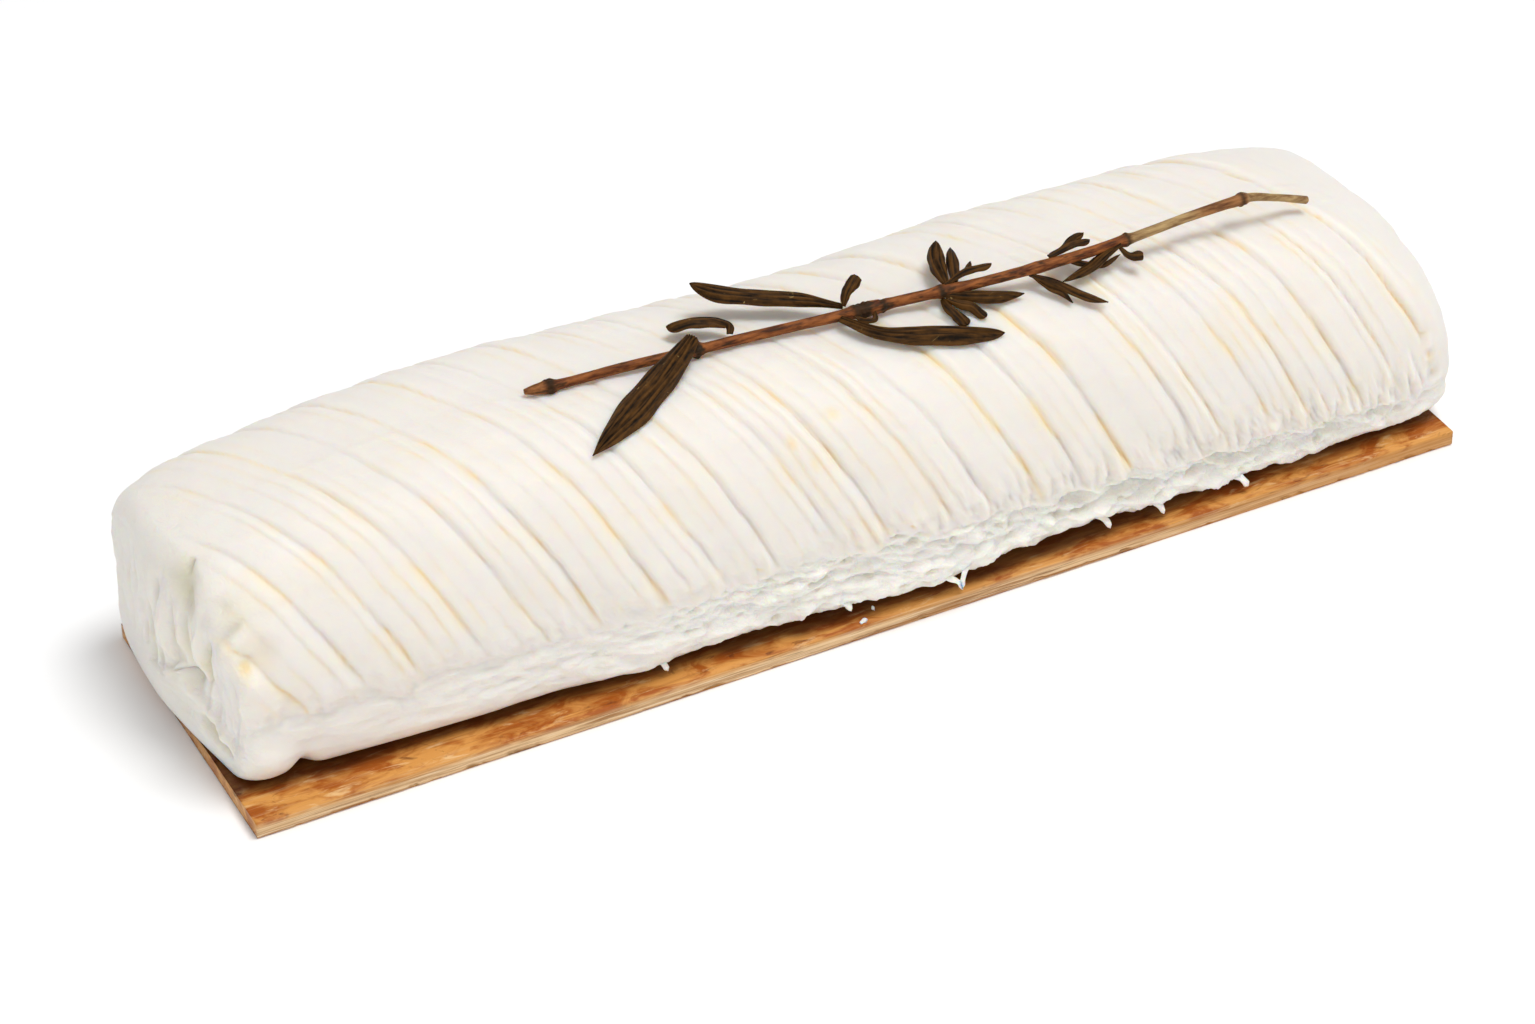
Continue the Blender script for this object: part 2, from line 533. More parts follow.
def pleats(place):
    """Height of the pleated skin, and how deep in a crease each place is."""
    draw = random.Random(PLEAT_SEED)
    height, tint = np.zeros_like(place), np.zeros_like(place)
    left = PLEATS_START
    for width in PLEAT_WIDTHS:
        steps = [(0.0, draw.uniform(0.65, 1.2))]
        steps.append((draw.uniform(0.28, 0.42), STEP_SHARE * draw.uniform(0.1, 1.2)))
        steps.append((draw.uniform(0.58, 0.78), STEP_SHARE * draw.uniform(0.3, 1.5)))
        for share, lip in steps:
            past = place - left - share * width
            sinks = 1 - np.clip(past / width / (1 - share), 0, 1) ** 1.5
            rise = (1 - np.exp(-np.maximum(past, 0) / LIP_ROUND)) * sinks
            height += np.where((past >= 0) & (past < width * (1 - share)), PLEAT_LIP * lip * rise, 0)
            height -= CREASE_DEPTH * lip * np.exp(-(past / CREASE_WIDTH) ** 2)
            halo = np.where(past < 0, np.exp(np.minimum(past, 0) / TINT_BEFORE_LIP),
                            np.exp(-np.abs(past) / TINT_PAST_LIP))
            tint = np.maximum(tint, lip * halo)
        left += width
    return height, tint


def stroke(across_face, up_face, stops, width):
    """A soft stroke on an end face through a few stops in millimetres; a slender one fades at its ends."""
    nearest, share = np.full(across_face.shape, 1e3), np.zeros(across_face.shape)
    spans = [math.dist(first, last) for first, last in zip(stops, stops[1:])]
    passed = 0.0
    for (y0, z0), (y1, z1), span in zip(stops, stops[1:], spans):
        t = np.clip(((across_face - y0) * (y1 - y0) + (up_face - z0) * (z1 - z0)) / span ** 2, 0, 1)
        away = np.hypot(across_face - y0 - t * (y1 - y0), up_face - z0 - t * (z1 - z0))
        share = np.where(away < nearest, (passed + t * span) / sum(spans), share)
        nearest = np.minimum(nearest, away)
        passed += span
    slender = min(1.0, sum(spans) / width / 8)
    lost = (1 - STROKE_ENDS) * (1 - np.sin(math.pi * np.clip(share, 0, 1)) ** 0.8)
    return np.exp(-(nearest / width) ** 2) * (1 - slender * lost)


rings = log_rings()
x, closed, inset_y, inset_z, side = rings.T
y, z, from_crown, skin, height = log_sections(x, inset_y, inset_z)
closed = closed[:, None]
fade = (smooth((x - LOG_LEFT) / SHEAR_FADE) * smooth((LOG_RIGHT - x) / SHEAR_FADE))[:, None]
foot, front, back, heel = (len(part) for part in (FOOT_STEPS, FRONT_STEPS, BACK_STEPS, HEEL_STEPS))
around = foot + front + back + heel
low = PLEAT_SKEW * skin.mean() / 2
shear = np.interp(np.arange(around), (0, foot / 2, foot + front, around), (0.0, low, -low, 0.0))[None, :]
upright = np.broadcast_to(x[:, None], y.shape)
x = upright + shear * fade
front_shift = along(FRONT_SIDE, x) - along(FRONT_SIDE, upright)
back_shift = along(BACK_SIDE, x) - along(BACK_SIDE, upright)
to_front = np.clip(0.5 - y / LOG_BREADTH, 0, 1)
y = y + front_shift * to_front + back_shift * (1 - to_front)
z = GAP + (z - GAP) * along(CROWN_HEIGHT, x) / along(CROWN_HEIGHT, upright)
for sign, edge, lean, face in ((-1, LOG_LEFT, LEFT_LEAN, LEFT_FACE), (1, LOG_RIGHT, RIGHT_LEAN, RIGHT_FACE)):
    near = smooth(1 - np.abs(x - edge) / END_REACH)
    up = np.sin(np.clip(z / LEAN_HEIGHT, 0, 1) * math.pi / 2)
    x = x + near * (sign * lean * up + along(face, y))
center_y = y.mean(axis=1, keepdims=True)
y = center_y + (y - center_y) * closed
middle_z = height * END_MIDDLE
z = middle_z + (z - middle_z) * closed
bulge = np.where(side < 0, -LEFT_BULGE, RIGHT_BULGE)[:, None]
x = x + bulge * (1 - closed ** 2) * (side != 0)[:, None]
plain = np.stack((x, y, z), axis=2)
normal = np.cross(np.roll(plain, -1, axis=1) - np.roll(plain, 1, axis=1), np.gradient(plain, axis=0))
normal /= np.linalg.norm(normal, axis=2, keepdims=True) + 1e-12
if normal[len(normal) // 2, foot + front][2] < 0:
    normal = -normal

# Pleats: a lip at each one's left edge, worn fainter over the crown and in uneven stretches
up_front = skin[:, None] - from_crown
on_front = from_crown > 0
from_left, from_right = x - LOG_LEFT - 0.001, LOG_RIGHT - 0.001 - x
body_share = (closed >= 1.0) * smooth(from_left / 0.006) * smooth(from_right / 0.006)
sheet = np.stack((x, from_crown, 0 * x), axis=2)
wander = PLEAT_WANDER * field(noise.fractal, sheet, (0.012, 0.012, 1), 0.9, 2.0, 3)
place = x + PLEAT_SKEW * (PLEAT_LEVEL - from_crown) + wander
sheet = np.stack((place, from_crown, 0 * x), axis=2)
uneven = field(noise.noise, sheet, (0.011, 0.014, 1))
uneven_tint = field(noise.fractal, sheet + (0, 0, 5), (0.009, 0.007, 1), 0.9, 2.0, 2)
ragged = field(noise.fractal, np.stack((x, 0 * x, 0 * x), axis=2), 0.006, 0.8, 2.0, 4)
skin_edge = along(SKIN_EDGE, x) + SKIN_EDGE_RAGGED * ragged
lip_wander = LIP_RAGGED * field(noise.fractal, plain, (0.0045, 0.004, 0.0022), 0.9, 2.0, 3)
under_lip = skin_edge - up_front + lip_wander
strength = PLEAT_AT_CROWN + (1 - PLEAT_AT_CROWN) * smooth(np.abs(from_crown) / PLEAT_DEEPENS)
strength = strength * np.where(on_front, 1, PLEAT_AT_BACK)
strength = strength * np.where(on_front, smooth(-under_lip / 0.0040), smooth((z - 0.004) / 0.006))
pleat_height, tint = pleats(place)
relief = pleat_height * np.clip(0.80 + 0.7 * uneven, 0.35, 1.35) * strength * body_share
tint = tint * np.clip(0.50 + 1.5 * uneven_tint, 0.05, 1.2) * (0.25 + 0.75 * strength) * body_share
tint = tint * np.where(on_front, smooth((0.0012 - under_lip) / 0.002), 1)

# Just over its lower edge the skin is drawn into small upright frills with butter yellow pits
frill_zone = smooth(1 + under_lip / FRILL_REACH) * smooth((0.0010 - under_lip) / 0.0020)
frill_zone = frill_zone * on_front * body_share
frill_place = place + FRILL_SKEW * (from_crown - skin[:, None])
frill_sheet = np.stack((frill_place, from_crown, 0 * x), axis=2)
frills = field(noise.fractal, frill_sheet, FRILL_SIZE, 0.8, 2.0, 3)
relief += along(FRILL_HEIGHT, x) * frill_zone * frills
specks = from_cell(sheet, (0.0026, 0.0038, 1))
specks = smooth((0.16 - specks) / 0.12) * frill_zone * smooth((uneven_tint + 0.05) / 0.15)
relief -= SPECK_DEPTH * specks
tint = np.maximum(tint, SPECK_TINT * specks)

# Torn curd under the skin's edge: billows, thin ridges and a few pits below a soft lip, then a smooth roll
torn_here = along(TORN_ALONG, x)
below = smooth((under_lip + 0.0006) / 0.0024) * on_front
torn = torn_here * below
recess = smooth((np.clip(up_front / skin_edge, 0, 1) - 0.14) / 0.42)
billows = field(noise.fractal, plain, (0.0060, 0.0036, 0.0026), 0.9, 2.0, 3)
ridges = field(noise.ridged_multi_fractal, plain + 0.05, (0.0060, 0.0034, 0.0019), 0.9, 2.1, 3, 1.0, 2.0)
pits = smooth((0.34 - from_cell(plain, (0.0042, 0.0030, 0.0019))) / 0.30)
flakes = field(noise.fractal, plain + 0.09, (0.0028, 0.0018, 0.0012), 0.9, 2.0, 2)
curd = TORN_BILLOWS * billows + TORN_RIDGES * np.clip(ridges - 1.0, -1, 1.4)
curd = curd - TORN_PITS * pits + TORN_FLAKES * flakes
relief -= torn * TORN_RECESS * recess
relief += torn * smooth((z - 0.0010) / 0.0022) * curd * (0.60 + 0.40 * recess)
at_lip = LIP_LUMPS * smooth(1 - np.abs(under_lip) / 0.003) * on_front
relief += at_lip * field(noise.noise, plain, 0.0034) * body_share
left_foot = smooth((-0.045 - x) / 0.020) * on_front * body_share
relief -= FOOT_CREASE * left_foot * np.exp(-((under_lip - 0.0004) / 0.0012) ** 2)

# The whole log is lumpy, with a faintly dimpled skin
above_foot = smooth((z - 0.003) / 0.006)
relief += LUMP_HEIGHT * above_foot * field(noise.fractal, plain, LUMP_SIZE, 0.9, 2.0, 2)
dimples = field(noise.fractal, plain, (0.0055, 0.004, 0.004), 0.8, 2.0, 4)
relief += DIMPLE_HEIGHT * smooth((z - 0.0015) / 0.003) * dimples
skin_points = plain + normal * relief[:, :, None]

# The left face: upright folds and hollows inside a rounded border, set in along X, over a smooth lower lip
facing_left = smooth((-normal[:, :, 0] - 0.10) / 0.50) * (x < 0)
on_face = plain * (0, 1, 1)
wobble = FOLD_WOBBLE * field(noise.noise, on_face, (1, 0.004, 0.005))
wobble += FOLD_WOBBLE / 2 * field(noise.noise, on_face + 0.3, (1, 0.002, 0.003))
face_y, face_z = (y + wobble) * 1000, z * 1000
inward, hollow = np.zeros_like(x), np.zeros_like(x)
for *stops, width, depth in FACE_STROKES:
    line = stroke(face_y, face_z, stops, width)
    inward += FOLD_SCALE * depth * line
    hollow = np.maximum(hollow, FOLD_SHADE * np.clip(depth, 0, DEEPEST_FOLD) / DEEPEST_FOLD * line)
inward -= BORDER_HEIGHT * stroke(face_y, face_z, FACE_BORDER, BORDER_WIDTH)
flaky = field(noise.fractal, on_face, (1, 0.0024, 0.0095), 0.8, 2.0, 3)
inward += FACE_ROUGH * flaky * smooth((z - 0.0030) / 0.004) * smooth((0.0300 - z) / 0.008)
inward = inward * facing_left
hollow = hollow * facing_left
skin_points[:, :, 0] += inward

# The right face: a few soft folds that meet near its middle
facing_right = smooth((normal[:, :, 0] - 0.10) / 0.50) * (x > 0)
for *stops, width, depth in RIGHT_STROKES:
    line = stroke(y * 1000, z * 1000, stops, RIGHT_SOFTNESS * width)
    skin_points[:, :, 0] -= facing_right * FOLD_SCALE * depth * line

# Single swells and pits, then the values that the material reads
for swell_x, swell_y, swell_z, width, height_out, stain in SWELLS:
    away = np.linalg.norm((plain - (swell_x, swell_y, swell_z)) / width, axis=2)
    skin_points += normal * (height_out * np.exp(-away ** 2))[:, :, None]
    tint = np.maximum(tint, stain * np.exp(-away ** 2))
skin_points[:, :, 2] = np.maximum(skin_points[:, :, 2], GAP) + SLAT_TOP
white = np.clip(torn * 1.1 + FACE_WHITE * facing_left, 0, 1)
hollow = np.clip(np.maximum(hollow, PIT_SHADE * torn * pits), 0, 1)


def cheese_material(name, depth):
    """Fresh goat cheese: ivory, matt and milky, butter yellow in the creases and whiter where torn."""
    material, tree, shader = blank_material(name, Roughness=0.5, IOR=1.42, Specular_IOR_Level=0.35,
                                            Subsurface_Weight=1.0, Subsurface_Radius=(1.0, 0.70, 0.40))
    place = add(tree, "ShaderNodeTexCoord").outputs["Object"]
    torn_share = stored(tree, "torn")
    colour = mixed(tree, cloudy(tree, place, 55.0, 3.0), "#E9E5E0", "#E6E0D8")
    colour = mixed(tree, torn_share, colour, "#F3F0E9")
    colour = mixed(tree, share_of(tree, stored(tree, "crease"), 0.0, 1.0, 0.8), colour, "#F4DA94")
    colour = mixed(tree, stored(tree, "hollow"), colour, "#D2CCAA")
    milky = add(tree, "ShaderNodeMapRange", {"To Min": depth, "To Max": 0.5 * depth}, Value=torn_share)
    grained = bumped(tree, cloudy(tree, place, 1500.0, 4.0, 0.6), 0.22, 0.00025)
    crumbs = cloudy(tree, place, 560.0, 4.0, 0.62, 0.8)
    crumbly = add(tree, "ShaderNodeMath", {"operation": "MULTIPLY"}, i0=crumbs, i1=torn_share)
    crumbled = bumped(tree, crumbly.outputs[0], 0.7, 0.0010, Normal=grained)
    tree.links.new(colour, shader.inputs["Base Color"])
    tree.links.new(milky.outputs[0], shader.inputs["Subsurface Scale"])
    tree.links.new(crumbled, shader.inputs["Normal"])
    return material


cheese = cheese_material("fresh goat cheese", CHEESE_MILKY)
log = loft("log", [skin_points], cheese, crease=[np.clip(tint, 0, 1)], torn=[white], hollow=[hollow])
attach(log, "root")
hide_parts("cheese_log")


# Shreds of curd that hang from the torn lower edge, and two crumbs of it on the slat.
# Each is a tapering strip from inside the log's foot: X, Y, height over the slat and radius in millimetres.
TAGS = (((-36.4, -21.4, 3.4, 1.0), (-35.6, -22.8, 2.1, 0.42), (-35.2, -23.2, 1.1, 0.30)),
        ((-6.3, -23.2, 3.9, 1.1), (-5.8, -24.1, 3.0, 0.44), (-5.5, -24.4, 2.1, 0.24)),
        ((8.9, -24.2, 4.0, 1.0), (10.6, -25.3, 3.1, 0.40), (12.0, -25.8, 2.1, 0.32),
         (12.5, -26.0, 0.8, 0.42)),
        ((14.2, -24.0, 4.4, 1.0), (13.3, -25.2, 3.5, 0.38), (12.6, -25.8, 2.2, 0.32),
         (12.4, -26.0, 0.9, 0.36)),
        ((38.2, -22.2, 3.6, 1.0), (39.2, -23.6, 2.2, 0.42), (39.5, -23.9, 1.3, 0.32)),
        ((47.4, -22.4, 3.8, 1.1), (48.4, -23.9, 2.3, 0.46), (48.8, -24.3, 1.1, 0.40)),
        ((62.0, -22.4, 3.6, 1.1), (63.2, -24.0, 2.3, 0.50), (63.9, -24.4, 1.2, 0.44)),
        ((-4.5, -25.4, 0.15, 0.15), (-3.9, -25.2, 0.24, 0.30), (-3.1, -25.1, 0.15, 0.18)),
        ((-1.4, -23.4, 0.20, 0.15), (-1.2, -23.3, 0.32, 0.28), (-0.9, -23.2, 0.20, 0.15)))
TAG_STEPS = 18
TAG_SIDES = 16
SHRED_MILKY = 0.0010


def curve(stops, steps):
    """Points at even steps along a smooth curve through a few stops."""
    stops = np.array(stops, dtype=float)
    distance = np.concatenate(((0,), np.cumsum(np.linalg.norm(np.diff(stops, axis=0), axis=1))))
    places = np.linspace(0, distance[-1], steps)
    return np.stack([along(np.column_stack((distance, stops[:, axis])), places) for axis in range(3)], axis=1)


def across(centers, facing):
    """Side and up directions along a path, with up as near to the facing direction as it can be."""
    forward = np.gradient(centers, axis=0)
    forward /= np.linalg.norm(forward, axis=1, keepdims=True)
    side = np.cross(forward, facing)
    side /= np.linalg.norm(side, axis=1, keepdims=True)
    return side, np.cross(side, forward)


tag_shells = []
turn = np.linspace(0, 2 * math.pi, TAG_SIDES, endpoint=False)[None, :, None]
for number, stops in enumerate(TAGS):
    places = np.array(stops)
    centers = curve(places[:, :3], TAG_STEPS) / 1000 + (0, 0, SLAT_TOP)
    tag_side, tag_up = across(centers, (0.3, -0.8, 1.0))
    t = np.linspace(0, 1, TAG_STEPS)
    pointed = 1 - 0.75 * smooth((t - 0.86) / 0.14)
    radius = np.interp(t, np.linspace(0, 1, len(places)), places[:, 3]) * pointed
    knobs = 1 + 0.16 * np.sin(9 * t + 2 * number)[:, None, None]
    knobs = knobs + 0.20 * np.sin(2 * turn + 4 * t[:, None, None])
    shape = radius[:, None, None] / 1000 * knobs
    tag_shells.append(centers[:, None] + shape * (tag_side[:, None] * np.cos(turn) * 1.15
                                                  + tag_up[:, None] * np.sin(turn) * 0.75))
shreds = cheese_material("thin shreds of goat cheese", SHRED_MILKY)
nowhere, everywhere = [0.0] * len(TAGS), [1.0] * len(TAGS)
tags = loft("curd_tags", tag_shells, shreds, crease=nowhere, torn=everywhere, hollow=nowhere)
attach(tags, "root")


# The sprig's stem: a dried woody twig, reddish brown and ribbed, paler towards its bent tail.
# It ends in a pointed bud on the left, has ragged collars where leaves grow, and rests on the pleats.
STEM_STOPS = ((-45.6, 0.8, 0.9), (-41.4, 0.2, 1.0), (-31.2, -0.3, 1.2), (-19.0, -1.0, 1.4), (-5.6, -1.5, 1.6),
              (4.1, -2.5, 1.8), (14.4, -3.8, 2.2), (25.3, -5.6, 2.8), (38.7, -7.3, 3.5), (50.9, -7.5, 4.0),
              (60.9, -6.9, 4.8), (70.2, -6.7, 5.6), (71.8, -6.6, 5.6), (77.4, -6.4, 4.2), (83.3, -6.3, 2.6))
STEM_RADII = ((-46.0, 0.32), (-45.2, 0.58), (-44.2, 0.86), (-43.0, 1.04), (-42.1, 1.20), (-41.6, 1.32),
              (-41.2, 1.22), (-40.8, 0.90), (-39.0, 0.82), (-21.0, 0.86), (-19.6, 0.98), (-19.1, 1.26),
              (-18.5, 1.36), (-18.0, 1.16), (-17.6, 0.90), (0.0, 0.90), (4.5, 0.96), (6.6, 1.20),
              (8.8, 1.34), (11.0, 1.16), (12.2, 0.94), (18.0, 0.94), (19.8, 1.16), (21.6, 1.12),
              (24.0, 0.92), (33.0, 0.92), (35.0, 1.12), (38.0, 0.94), (45.0, 0.94), (48.2, 1.00),
              (50.0, 1.14), (51.6, 0.88), (60.0, 0.82), (68.0, 0.90), (70.2, 1.02), (71.0, 1.18),
              (71.7, 1.16), (72.2, 0.80), (77.0, 0.66), (83.3, 0.72))
DARK_PARTS = ((-42.6, -41.2), (-19.5, -18.2), (6.0, 8.8), (10.4, 11.2), (19.4, 20.2), (49.8, 50.6),
              (70.6, 71.3))
JOINT_DARKNESS = 0.92
MOTTLE_DARKNESS = 0.8
STEM_STEPS = 760
STEM_SIDES = 36
RIB_DEPTH = 0.055
JOINT_RAGGED = 0.35
BUD_END = -42.4
STEM_SLIM = 0.87


def dome(x, y):
    """Height of the log's plain dome over the slat's underside at places along and across it."""
    front, back, height = along(FRONT_SIDE, x), along(BACK_SIDE, x), along(CROWN_HEIGHT, x)
    middle, half = (front + back) / 2, (back - front) / 2
    widest = np.where(y < middle, FRONT_WIDEST, BACK_WIDEST)
    power = np.where(y < middle, FRONT_DOME_POWER, BACK_DOME_POWER)
    out = np.clip(np.abs(y - middle) / half, 0, 1)
    return SLAT_TOP + widest + (height - widest) * (1 - out ** power) ** (1 / power)


def over_log(stops):
    """Stops in millimetres, as X, Y and height over the log, as places in metres."""
    x, y, lift = np.array(stops).T / 1000
    return np.column_stack((x, y, dome(x, y) + lift))


def stem_material():
    """Dry twig: reddish bark with dark mottles, nearly black at the joints and tan towards the tail."""
    material, tree, shader = blank_material("dry herb twig", Roughness=0.6, Specular_IOR_Level=0.16)
    place = add(tree, "ShaderNodeTexCoord").outputs["Object"]
    spread = add(tree, "ShaderNodeMapping", {"Scale": (260.0, 1500.0, 1500.0)}, Vector=place)
    bark = cloudy(tree, spread.outputs[0], 1.0, 5.0, 0.62)
    share = share_of(tree, bark, 0.36, 0.64)
    red = mixed(tree, share, "#4A220F", "#97592B")
    tan = mixed(tree, share, "#7A5A38", "#B59767")
    colour = mixed(tree, stored(tree, "dry"), red, tan)
    colour = mixed(tree, stored(tree, "dark"), colour, "#2F200F")
    tree.links.new(colour, shader.inputs["Base Color"])
    tree.links.new(bumped(tree, bark, 0.6, 0.0002), shader.inputs["Normal"])
    return material


centers = curve(over_log(STEM_STOPS), STEM_STEPS)
stem_side, stem_up = across(centers, (0, 0, 1))
x = centers[:, :1] * 1000
angle = np.linspace(0, 2 * math.pi, STEM_SIDES, endpoint=False)[None, :]
bark = np.stack(np.broadcast_arrays(x / 5.0, np.cos(angle) * 1.6, np.sin(angle) * 1.6), axis=2)
ribs = field(noise.fractal, bark, 1, 0.7, 2.0, 4)
dark = np.zeros_like(x)
for start, end in DARK_PARTS:
    dark = np.maximum(dark, smooth((x - start + 0.5) / 1.0) * smooth((end - x + 0.5) / 1.0))
mottle = smooth((field(noise.fractal, bark + 7, (0.5, 1.1, 1.1), 0.8, 2.0, 3) - 0.28) / 0.35) * (x < 48)
radius = np.interp(x[:, 0], *np.array(STEM_RADII).T) / 1000
radius = np.convolve(np.pad(radius, 2, "edge"), np.full(5, 0.2), "valid")[:, None]
radius = STEM_SLIM * radius * (1 + RIB_DEPTH * ribs * (1 + 1.6 * dark))
nubs = field(noise.fractal, bark + 3, (0.22, 0.9, 0.9), 0.8, 2.0, 2)
radius = radius * (1 + JOINT_RAGGED * dark * nubs)
stem_rings = (centers[:, None] + stem_side[:, None] * (radius * np.cos(angle))[:, :, None]
              + stem_up[:, None] * (radius * np.sin(angle))[:, :, None])
dry = smooth((x - 49.5) / 2.0) * (1 - 0.75 * smooth((x - 60.0) / 5.0) * smooth((72.3 - x) / 1.0))
dry = np.maximum(dry, 0.12 * smooth((BUD_END - x) / 0.6))
dark = np.clip(JOINT_DARKNESS * dark + MOTTLE_DARKNESS * mottle, 0, 1)
stem = loft("stem", [stem_rings], stem_material(), dark=[dark], dry=[dry])
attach(stem, "root")
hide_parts("sprig_stem")


# The leaves: narrow dried herb leaves, shrivelled into lengthwise ribs with their edges rolled down.
# Each is lofted along a route in millimetres over the log, from its joint at the stem to its tip.
# Each entry has its stops, width, where it is widest, how blunt its tip is, its petiole's share, roll, ribs
LEAVES = {
    "leaf_01": (((-19.3, -0.6, 3.2), (-24.9, -4.7, 2.6), (-31.9, -8.7, 1.7), (-41.7, -13.4, 1.0)),
                5.0, 0.50, 0.15, 0.45, 0, 5),
    "leaf_02": (((-12.8, 0.1, 1.4), (-12.3, 1.1, 2.2), (-13.4, 2.3, 2.6), (-16.4, 4.0, 2.3),
                 (-20.4, 5.7, 1.4)),
                2.9, 0.72, 0.75, 0.30, 0, 2),
    "leaf_03": (((5.3, -1.3, 2.0), (1.0, 1.6, 2.8), (-4.9, 4.9, 3.2), (-11.0, 7.6, 4.4), (-14.7, 9.2, 5.6)),
                3.5, 0.62, 0.60, 0.25, 18, 4),
    "leaf_04": (((4.9, -1.9, 2.4), (6.2, -0.8, 4.2), (8.4, 0.6, 5.2)), 2.2, 0.90, 0.95, 0.35, 0, 2),
    "leaf_05": (((3.7, -3.5, 1.6), (7.3, -8.2, 1.9), (15.4, -11.3, 2.0), (26.0, -13.3, 1.0)),
                3.5, 0.62, 0.55, 0.35, 0, 4),
    "leaf_06": (((6.0, -3.8, 1.6), (7.3, -5.2, 1.3), (8.3, -5.5, 1.6), (8.8, -4.8, 2.2)),
                1.0, 0.50, 0.6, 0.6, 0, 1),
    "leaf_07": (((21.0, -4.4, 2.8), (21.6, -0.5, 3.8), (24.0, 4.2, 4.0)), 2.7, 0.50, 0.45, 0.35, 0, 3),
    "leaf_08": (((22.2, -4.8, 2.8), (24.0, -1.1, 3.2), (25.7, 2.8, 3.2)), 1.9, 0.50, 0.5, 0.4, 0, 2),
    "leaf_09": (((20.6, -4.6, 3.0), (22.7, -4.5, 3.8), (25.8, -4.6, 4.2), (28.4, -4.8, 4.2)),
                1.35, 0.66, 0.8, 0.45, 0, 2),
    "leaf_09_fork": (((23.1, -4.5, 3.5), (24.7, -3.8, 3.8), (25.9, -2.9, 4.0)), 0.9, 0.60, 0.7, 0.6, 0, 1),
    "leaf_10": (((19.7, -5.2, 1.9), (24.0, -6.9, 1.9), (28.0, -8.2, 1.6), (31.8, -8.9, 1.2)),
                2.3, 0.55, 0.3, 0.40, 0, 3),
    "leaf_11": (((20.2, -5.8, 1.6), (21.8, -7.4, 1.5), (23.3, -8.3, 1.3), (24.6, -10.3, 0.9)),
                2.0, 0.72, 0.8, 0.40, 0, 2),
    "leaf_12": (((19.8, -5.5, 1.4), (19.9, -7.2, 1.2), (20.6, -8.4, 1.0), (21.2, -10.7, 0.8)),
                2.1, 0.68, 0.8, 0.40, 0, 2),
    "leaf_13": (((37.8, -6.1, 3.4), (39.8, -6.0, 3.8), (41.8, -5.4, 4.1), (44.2, -4.9, 4.3)),
                1.5, 0.60, 0.7, 0.50, 0, 2),
    "leaf_14": (((37.2, -6.4, 3.6), (39.4, -6.6, 4.2), (41.4, -6.6, 4.5), (44.1, -6.9, 4.7)),
                1.2, 0.75, 0.9, 0.60, 0, 1),
    "leaf_15": (((33.6, -7.3, 2.6), (35.9, -9.2, 2.3), (39.6, -11.7, 1.5), (43.5, -13.7, 0.9)),
                1.5, 0.60, 0.35, 0.5, 0, 2),
    "leaf_16": (((33.9, -7.3, 2.2), (35.7, -9.5, 1.6), (37.4, -10.8, 1.2), (38.3, -12.2, 0.7)),
                1.1, 0.60, 0.5, 0.5, 0, 2),
    "leaf_17": (((48.7, -8.2, 3.8), (46.5, -8.6, 3.5), (42.7, -9.3, 2.4), (38.2, -9.3, 1.4)),
                1.7, 0.45, 0.3, 0.5, 0, 3),
    "leaf_18": (((40.2, -7.4, 3.0), (41.6, -7.9, 2.4), (43.2, -8.5, 2.0), (45.3, -9.0, 1.9),
                 (48.3, -8.9, 2.6)),
                1.1, 0.25, 0.6, 0.8, 0, 1),
    "leaf_19": (((48.6, -8.2, 3.2), (49.3, -9.3, 3.0), (50.5, -10.0, 3.0), (51.6, -10.1, 3.0)),
                1.7, 0.92, 0.95, 0.3, 0, 1),
}
LEAF_STEPS = 60
LEAF_SIDES = 84
LEAF_THICK = 0.00042
LEAF_ROLL_DOWN = 0.30
RIB_HEIGHT = 0.00014
LEAF_LIFT = 0.0005
LEAF_LEAST_HALF = 0.00008
LEAF_WAVE = 0.00010
DOME_STEP = 0.001


def leaf_material():
    """Dried leaf: dark olive brown, lighter on its ribs, with a dull shine and a few pale scratches."""
    material, tree, shader = blank_material("dried herb leaf", Roughness=0.6, Specular_IOR_Level=0.12)
    place = add(tree, "ShaderNodeTexCoord").outputs["Object"]
    mottle = cloudy(tree, place, 900.0, 4.0, 0.6)
    lightness = add(tree, "ShaderNodeMath", {"operation": "MULTIPLY_ADD", 1: 0.90}, i0=stored(tree, "rib"),
                    i2=mottle)
    scratches = cloudy(tree, place, 420.0, 2.0, distortion=1.5)
    colour = mixed(tree, share_of(tree, lightness.outputs[0], 0.55, 1.45), "#140A01", "#5A3A14")
    colour = mixed(tree, share_of(tree, scratches, 0.70, 0.76, 0.6), colour, "#B99C62")
    tree.links.new(colour, shader.inputs["Base Color"])
    tree.links.new(bumped(tree, mottle, 0.5, 0.00015), shader.inputs["Normal"])
    return material


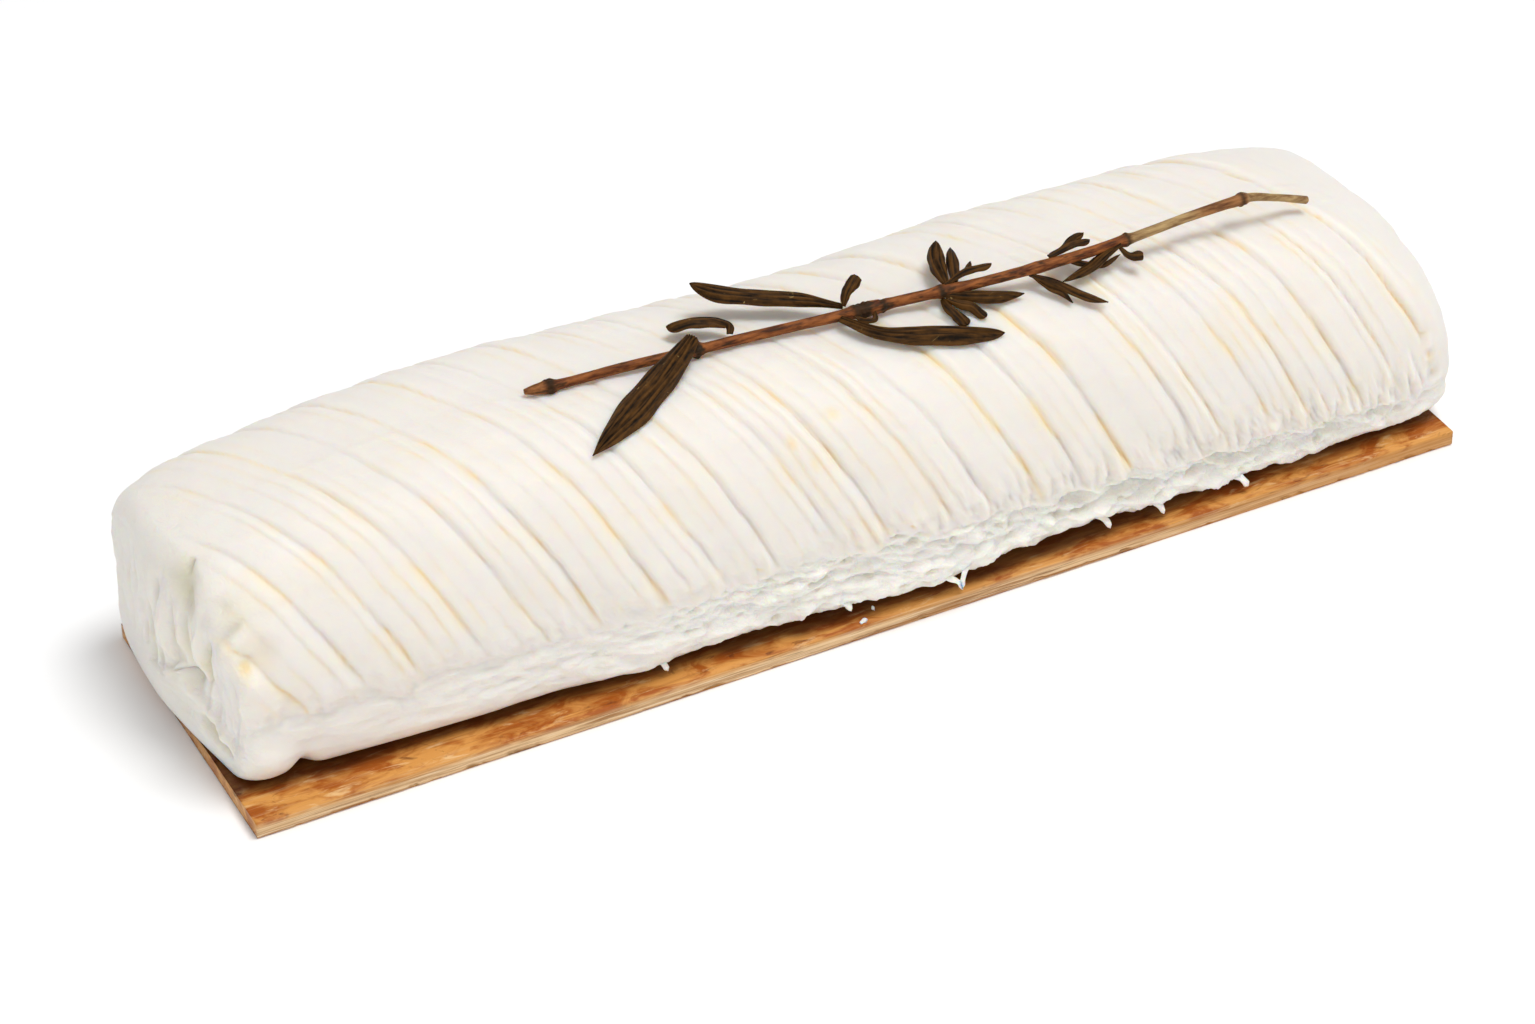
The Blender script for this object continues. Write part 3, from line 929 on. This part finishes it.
def leaf_rings(stops, width, widest, blunt, petiole, roll, ribs, seed):
    """Rings of one leaf along its route, and how high on a rib each point is."""
    centers = curve(over_log(stops), LEAF_STEPS) + (0, 0, LEAF_LIFT)
    x, y = centers[:, 0], centers[:, 1]
    slope_x = (dome(x - DOME_STEP, y) - dome(x + DOME_STEP, y)) / (2 * DOME_STEP)
    slope_y = (dome(x, y - DOME_STEP) - dome(x, y + DOME_STEP)) / (2 * DOME_STEP)
    side, up = across(centers, np.column_stack((slope_x, slope_y, np.ones(len(x)))))
    t = np.linspace(0, 1, LEAF_STEPS)
    twist = math.radians(roll) + 0.16 * np.sin(5 * t + seed)
    side, up = (side * np.cos(twist)[:, None] + up * np.sin(twist)[:, None],
                up * np.cos(twist)[:, None] - side * np.sin(twist)[:, None])
    closing = np.clip((t - widest) / (1 - widest), 0, 1)
    outline = petiole + (1 - petiole) * np.sin(np.clip(t / widest, 0, 1) * math.pi / 2) ** 1.1
    outline = outline * (1 - closing ** (1.6 + 2.4 * blunt)) ** (1 - 0.5 * blunt)
    outline = outline * (1 + 0.05 * np.sin(11 * t + 2 * seed) + 0.03 * np.sin(23 * t + seed))
    half = np.maximum(width / 2000 * outline, LEAF_LEAST_HALF)[:, None]
    turn = np.linspace(0, 2 * math.pi, LEAF_SIDES, endpoint=False)[None, :]
    out, above = np.cos(turn), np.sign(np.sin(turn)) * np.abs(np.sin(turn)) ** 0.8
    length = np.concatenate(((0,), np.cumsum(np.linalg.norm(np.diff(centers, axis=0), axis=1))))[:, None]
    spread = np.stack(np.broadcast_arrays(out * half, length, 0.01 * seed + 0 * out), axis=2)
    drift = field(noise.noise, spread, (0.0014, 0.0070, 0.01))
    streaks = field(noise.fractal, spread, (0.00030, 0.0050, 0.01), 0.8, 2.0, 3)
    rib = 0.5 + 0.5 * np.cos(math.pi * (ribs * out + 0.7 * drift + 0.3 * (seed % 3)))
    thick = LEAF_THICK / 2 * np.clip(half / 0.0006, 0.45, 1)
    rise = thick * above - LEAF_ROLL_DOWN * half * out ** 2 * (1 + 0.4 * np.sin(6 * t + seed)[:, None])
    ridge = (above > 0) * (rib - 0.5) * 2 * RIB_HEIGHT
    rise = rise + ridge * (1 - out ** 4) * np.clip(half / 0.001, 0.3, 1.2)
    rise = rise - half * 0.22 * np.clip(np.abs(out) - 0.7, 0, 1) / 0.3
    rise = rise + LEAF_WAVE * np.sin(9 * t + 2 * seed)[:, None]
    points = centers[:, None] + side[:, None] * (half * out)[:, :, None] + up[:, None] * rise[:, :, None]
    tone = np.clip(0.20 + 0.50 * np.sqrt(rib) + 0.75 * streaks, 0, 1)
    return points, np.maximum(tone, 0.75 * smooth((np.abs(out) - 0.88) / 0.08)) * (above > -0.2)


leaf_green = leaf_material()
for seed, (name, shape) in enumerate(LEAVES.items()):
    points, rib = leaf_rings(*shape, seed)
    leaf = loft("dried_" + name, [points], leaf_green, rib=[rib])
    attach(leaf, "root")
    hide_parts(name[:7])
